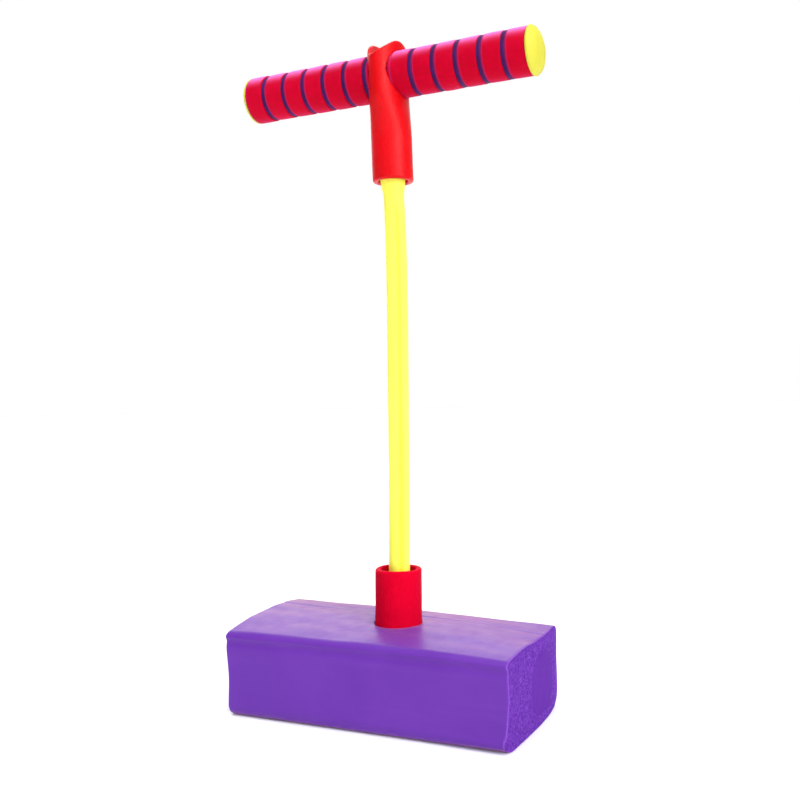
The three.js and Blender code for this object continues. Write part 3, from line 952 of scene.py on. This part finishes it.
def sleeve_tube():
    seg = 128
    low = 513.4
    levels = np.concatenate([np.linspace(low, 600, 56), np.linspace(601.6, 626, 18)])
    verts, faces = [], []

    def half(z, inner):
        t = float(smooth((z - 552) / 50))
        if inner:
            return 14.5 + (11.8 - 14.5) * t, 14.5 + (22.9 - 14.5) * t
        return 20.0 + (16.9 - 20.0) * t, 20.0 + (28.2 - 20.0) * t

    def ring(z, inner, top=None, shift=0.0):
        a, b = half(z, inner)
        a, b = a + shift, b + shift
        out = []
        for s in range(seg):
            w = 2 * math.pi * s / seg
            h = z if top is None else float(rim_height(w)) + top
            # the oval's shape at the true height
            out.append((a * math.cos(w), b * math.sin(w), h))
        return out

    loops = []
    # outside, bottom to top, with a soft lower edge
    for i in range(7):
        t = math.pi / 2 * i / 6
        loops.append(ring(low + 1.8 - 1.8 * math.cos(t), False, shift=-1.8 + 1.8 * math.sin(t)))
    for z in levels[1:]:
        if z > low + 2.5:
            loops.append(ring(z, False))
    for i in range(1, 6):
        t = i / 6
        last = np.array(ring(626, False))
        goal = np.array(ring(640, False, top=-2.2))
        loops.append([tuple(p) for p in last * (1 - t) + goal * t])
    for i in range(8):
        t = math.pi / 2 * i / 7
        loops.append(ring(640, False, top=-2.2 + 2.2 * math.sin(t), shift=-2.2 + 2.2 * math.cos(t)))
    for i in range(8):
        t = math.pi / 2 * i / 7
        loops.append(ring(640, True, top=-2.2 + 2.2 * math.cos(t), shift=2.2 - 2.2 * math.sin(t)))
    for i in range(5, 0, -1):
        t = i / 6
        last = np.array(ring(626, True))
        goal = np.array(ring(640, True, top=-2.2))
        loops.append([tuple(p) for p in last * (1 - t) + goal * t])
    for z in levels[::-1]:
        if z > low + 2.5:
            loops.append(ring(z, True))
    for i in range(7):
        t = math.pi / 2 * i / 6
        loops.append(ring(low + 1.8 - 1.8 * math.sin(t), True, shift=1.8 - 1.8 * math.cos(t)))
    n = len(loops)
    for lp in loops:
        verts.extend(lp)
    for i in range(n):
        for s in range(seg):
            a, b = i * seg + s, i * seg + (s + 1) % seg
            c, d = ((i + 1) % n) * seg + (s + 1) % seg, ((i + 1) % n) * seg + s
            faces.append((a, b, c, d))
    return make("sleeve_foam_tube", verts, faces)


sleeve = sleeve_tube()
hole = turn("cut_cross", [(0, -60), (22.45, -60), (22.45, 60), (0, 60)], 128, axis="X", at=(0, 0, BAR), closed=False)
boolean(sleeve, hole)
remesh(sleeve, 0.8, 5, 0.5)


def sleeve_warp(P):
    x, y, z = P[:, 0], P[:, 1], P[:, 2]
    w = np.arctan2(y, x)
    r = np.maximum(np.hypot(x, y), 1)
    n = 0.3 * waves(P * [1, 1, 0.6], 42, 41) * smooth((595 - z) / 25)
    return np.stack([x * (1 + n / r) + spline((512, 540, 570, 600, 625, 650), (4.0, 3.1, 2.2, 1.1, 0.4, 0.2), z), y * (1 + n / r), z], 1)


reshape(sleeve, sleeve_warp)
dress(sleeve, SLEEVE)
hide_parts("upper_sleeve")

# ------------------------------------------------------------------ handlebar
PITCH, RING_W = 23.4, 4.4
SEG_W = PITCH - RING_W
LEFT0, RIGHT0 = -15.1, 33.8
left_end = LEFT0 - PITCH * 5 - RING_W / 2 - SEG_W
right_end = RIGHT0 + PITCH * 4 + RING_W / 2 + SEG_W


def disc(name, x, width, radius, ease, seed, crown=0.0):
    h = width / 2

    def warp(P):
        d = P - np.array([x, 0, BAR])
        r = np.hypot(d[:, 1], d[:, 2])
        outer = smooth((r - 16) / 4)
        k = outer * (0.13 * waves(P, 24, seed) + crown * (1 - (d[:, 0] / h) ** 2)) / np.maximum(r, 1)
        return np.stack([P[:, 0] + 0.0 * r, BAR * 0 + P[:, 1] * (1 + k), BAR + d[:, 2] * (1 + k)], 1)

    prof = fillet([(12.8, -h, 0.5), (radius, -h, ease), (radius, h, ease), (12.8, h, 0.5)], seg=5)
    return turn(name, prof, 112, axis="X", at=(x, 0, BAR), warp=warp, step=1.7)


grips, rings = [], []
for i in range(6):
    x = LEFT0 - PITCH * i
    rings.append((disc(f"ring_left_{i + 1}", x, RING_W - 0.14, 21.8, 0.5, 100 + i), f"left_ring_{i + 1}"))
    grips.append((disc(f"grip_left_{i + 1}", x - PITCH / 2, SEG_W - 0.14, 22.9 if i == 5 else 22.45, 1.0, 120 + i, 0.12), f"left_grip_{i + 1}"))
inner_end, inner_start, inner_left = RIGHT0 - RING_W / 2, 9.6, LEFT0 + RING_W / 2
grips.append((disc("grip_right_1", (inner_end + inner_start) / 2, inner_end - inner_start - 0.14, 22.2, 1.0, 140, 0.12), "right_grip_1"))
for i in range(5):
    x = RIGHT0 + PITCH * i
    rings.append((disc(f"ring_right_{i + 1}", x, RING_W - 0.14, 21.8, 0.5, 150 + i), f"right_ring_{i + 1}"))
    grips.append((disc(f"grip_right_{i + 2}", x + PITCH / 2, SEG_W - 0.14, 22.1, 1.0, 170 + i, 0.12), f"right_grip_{i + 2}"))
grips.append((disc("grip_left_0", (inner_left - inner_start) / 2, -inner_start - inner_left - 0.14, 22.2, 0.6, 139), "left_grip_0"))
for ob, node in grips:
    dress(ob, GRIP)
    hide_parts(node)
for ob, node in rings:
    dress(ob, RING)
    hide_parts(node)

core = turn("core_pipe", fillet([(10.5, left_end, 0.5), (12.5, left_end, 0.5), (12.5, right_end, 0.5), (10.5, right_end, 0.5)], seg=4), 72,
            axis="X", at=(0, 0, BAR), step=5.0)
dress(core, WHITE)
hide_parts("core_tube")

for side, sign in (("left", -1), ("right", 1)):
    # the stop discs are dark grey, a painted shade for the gap beside the sleeve's hole
    stop = turn(f"stop_disc_{side}", fillet([(12.8, -1, 0.3), (19.5, -1, 0.5), (19.5, 1, 0.5), (12.8, 1, 0.3)], seg=4), 96,
                axis="X", at=(sign * 8.3, 0, BAR), step=2.0)
    dress(stop, GREY_AND_SHADE)
    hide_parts(f"{side}_stop_washer")
    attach(stop, "handlebar")
    end = right_end if sign > 0 else left_end
    prof = fillet([
        (0, -18, 0), (9.4, -18, 0.8), (10.2, -16, 0.6), (10.2, 0.3, 0.5), (22.5, 0.3, 0.4), (22.9, 1.0, 0.4), (22.8, 2.3, 1.2), (20.9, 4.6, 3.0), (17.1, 6.8, 6.0), (11.1, 8.6, 10.0), (4.0, 9.3, 8.0), (0, 9.4, 0),
    ], closed=False, seg=5)
    dome = 1.12 if sign > 0 else 0.72      # the two caps don't sit equally deep
    prof = [(r, h * dome if h > 0.3 else h) for r, h in prof]
    cap = turn(f"cap_{side}", [(r, h * sign) for r, h in prof], 112, axis="X", at=(end, 0, BAR), step=1.6, closed=False)
    dress(cap, CAP)
    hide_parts(f"{side}_end_cap")
    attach(cap, "handlebar")

# ------------------------------------------------------------------ what moves with what
for ob in (block, plug, cover, collar, liner, holder):
    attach(ob, "base")
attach(bellows, "base")
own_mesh(bellows)
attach(button, "squeaker_top")
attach(washer, "stem_root")
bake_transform(lower)
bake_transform(bend)
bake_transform(shaft)
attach(neck, "stem_head")
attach(sleeve, "stem_head")
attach(core, "handlebar")
for ob, _ in grips + rings:
    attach(ob, "handlebar")

# ------------------------------------------------------------------ camera
F, CX, CY = 932.922, 436.453, 385.229
AZ, PITCH_A, ROLL = (math.radians(v) for v in (24.472, 1.003, -1.275))
DIST, TX, TZ = 910.259, 41.018, 298.226
fwd = Vector((-math.sin(AZ) * math.cos(PITCH_A), math.cos(AZ) * math.cos(PITCH_A), math.sin(PITCH_A)))
right = Vector((math.cos(AZ), math.sin(AZ), 0))
up = right.cross(fwd)
right2 = math.cos(ROLL) * right + math.sin(ROLL) * up
up2 = -math.sin(ROLL) * right + math.cos(ROLL) * up
where = Vector((DIST * math.sin(AZ) + TX * math.cos(AZ), -DIST * math.cos(AZ) + TX * math.sin(AZ), TZ)) * MM
data = bpy.data.cameras.new("camera")
camera = bpy.data.objects.new("camera", data)
scene.collection.objects.link(camera)
data.sensor_width = 36.0
data.lens = F / 800 * 36.0
data.shift_x = (400 - CX) / 800
data.shift_y = (CY - 400) / 800
data.clip_start, data.clip_end = 0.01, 100.0
m = Matrix.Identity(4)
for i in range(3):
    m[i][0], m[i][1], m[i][2], m[i][3] = right2[i], up2[i], -fwd[i], where[i]
camera.matrix_world = m
scene.camera = camera

# ------------------------------------------------------------------ studio
def floor_plane():
    bm = bmesh.new()
    bmesh.ops.create_grid(bm, x_segments=24, y_segments=24, size=30.0)
    me = bpy.data.meshes.new("studio_floor")
    bm.to_mesh(me)
    bm.free()
    ob = bpy.data.objects.new("studio_floor", me)
    scene.collection.objects.link(ob)
    k = Look("floor_look")
    c = k.mix(k.fit(k.noise(3.0, 2, 0.5), 0.3, 0.7), (0.96, 0.96, 0.965, 1), (0.98, 0.98, 0.98, 1))
    k.set(Base_Color=c, Roughness=0.8)
    k.b.inputs["Specular IOR Level"].default_value = 0.1
    me.materials.append(k.m)
    return ob


floor_plane()

world = bpy.data.worlds.new("studio")
scene.world = world
world.use_nodes = True
wt = world.node_tree
bg = wt.nodes["Background"]
direction = wt.nodes.new("ShaderNodeTexCoord").outputs["Generated"]


def wmath(op, a, b=0.0):
    n = wt.nodes.new("ShaderNodeMath")
    n.operation = op
    for socket, v in zip(n.inputs, (a, b)):
        if isinstance(v, bpy.types.NodeSocket):
            wt.links.new(v, socket)
        else:
            socket.default_value = v
    return n.outputs[0]


def lobe(azimuth, elevation, outer, inner, strength):
    """A soft patch of light in the surroundings, between outer and inner degrees of its direction."""
    a, e = math.radians(azimuth), math.radians(elevation)
    dot = wt.nodes.new("ShaderNodeVectorMath")
    dot.operation = "DOT_PRODUCT"
    wt.links.new(direction, dot.inputs[0])
    dot.inputs[1].default_value = (math.sin(a) * math.cos(e), -math.cos(a) * math.cos(e), math.sin(e))
    n = wt.nodes.new("ShaderNodeMapRange")
    n.interpolation_type = "SMOOTHSTEP"
    wt.links.new(dot.outputs["Value"], n.inputs[0])
    for i, v in enumerate((math.cos(math.radians(outer)), math.cos(math.radians(inner)), 0.0, strength), 1):
        n.inputs[i].default_value = v
    return n.outputs[0]


light = wmath("ADD", 0.22, lobe(204.5, 12, 75, 35, 0.28))          # a pale wall behind
light = wmath("ADD", light, lobe(214, 33, 36, 12, 2.3))            # which is brighter towards the left
light = wmath("ADD", light, lobe(64, 22, 20, 8, 7.6))              # a soft box to the right of the front
light = wmath("ADD", light, lobe(15, 74, 24, 9, 3.8))              # and one overhead
seen = wt.nodes.new("ShaderNodeLightPath").outputs["Is Camera Ray"]
level = wmath("ADD", wmath("MULTIPLY", seen, 1.0), wmath("MULTIPLY", wmath("SUBTRACT", 1.0, seen), light))
bg.inputs[0].default_value = (1.0, 1.0, 1.0, 1)
wt.links.new(level, bg.inputs[1])


def sun(name, azimuth, elevation, spread, strength):
    d = bpy.data.lights.new(name, "SUN")
    d.energy = strength
    d.angle = math.radians(spread)
    ob = bpy.data.objects.new(name, d)
    scene.collection.objects.link(ob)
    a, e = math.radians(azimuth), math.radians(elevation)
    toward = Vector((math.sin(a) * math.cos(e), -math.cos(a) * math.cos(e), math.sin(e)))
    ob.rotation_mode = "QUATERNION"
    ob.rotation_quaternion = (-toward).to_track_quat("-Z", "Y")
    return ob


sun("key", 45, 55, 90, 1.75)

scene.view_settings.view_transform = "Standard"
scene.view_settings.look = "None"
scene.view_settings.exposure = 0.0
scene.view_settings.gamma = 1.0
